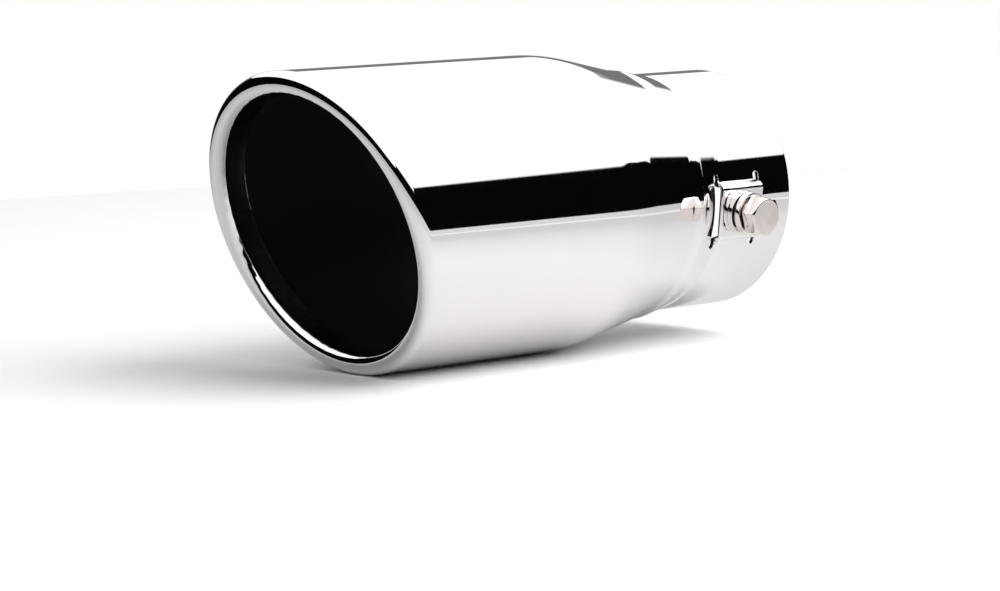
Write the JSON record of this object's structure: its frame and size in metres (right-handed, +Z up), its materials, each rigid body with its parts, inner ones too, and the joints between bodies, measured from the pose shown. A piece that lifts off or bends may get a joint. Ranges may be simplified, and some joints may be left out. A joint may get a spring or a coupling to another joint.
{
  "type": "exhaust tip",
  "caption": "Slant-cut exhaust tip with a rolled-in mouth, a swaged shoulder and an inlet sleeve with a bolt clamp in a pressed-out pad.",
  "frame": {"origin": "centre of the inlet rim, on the tube's axis", "axes": "+X along the tube out of the inlet, so the mouth looks towards -X; +Z up, on the slanted mouth's long side; the clamp is on the -Y side"},
  "size_m": [0.1588, 0.084, 0.08],
  "materials": {
    "polished_shell": "mirror polish outside, dark matt inside",
    "polished_sleeve": "mirror polish",
    "nut_steel": "plain stainless",
    "washer_steel": "bright stainless",
    "spring_steel": "bright stainless",
    "bolt_steel": "bright stainless, cold headed"
  },
  "bodies": {
    "tip": {"outer_shell": "polished_shell", "inlet_sleeve": "polished_sleeve", "clamp_nut": "nut_steel"},
    "washers": {"flat_washer": "washer_steel", "spring_washer": "spring_steel"},
    "bolt": {"clamp_bolt": "bolt_steel"}
  },
  "joints": [
    {"name": "clamp_bolt_travel", "type": "slide", "parent": "tip", "child": "washers", "axis": [0, -0.9962, -0.0872], "range_m": [0, 0.0015]},
    {"name": "clamp_bolt_turn", "type": "hinge", "parent": "washers", "child": "bolt", "pos_m": [-0.0216, 0, 0], "axis": [0, -0.9962, -0.0872], "range_deg": [0, 540]}
  ],
  "couplings": [
    {"joint": "clamp_bolt_turn", "follows": "clamp_bolt_travel", "rad_per_m": 6283.2}
  ]
}
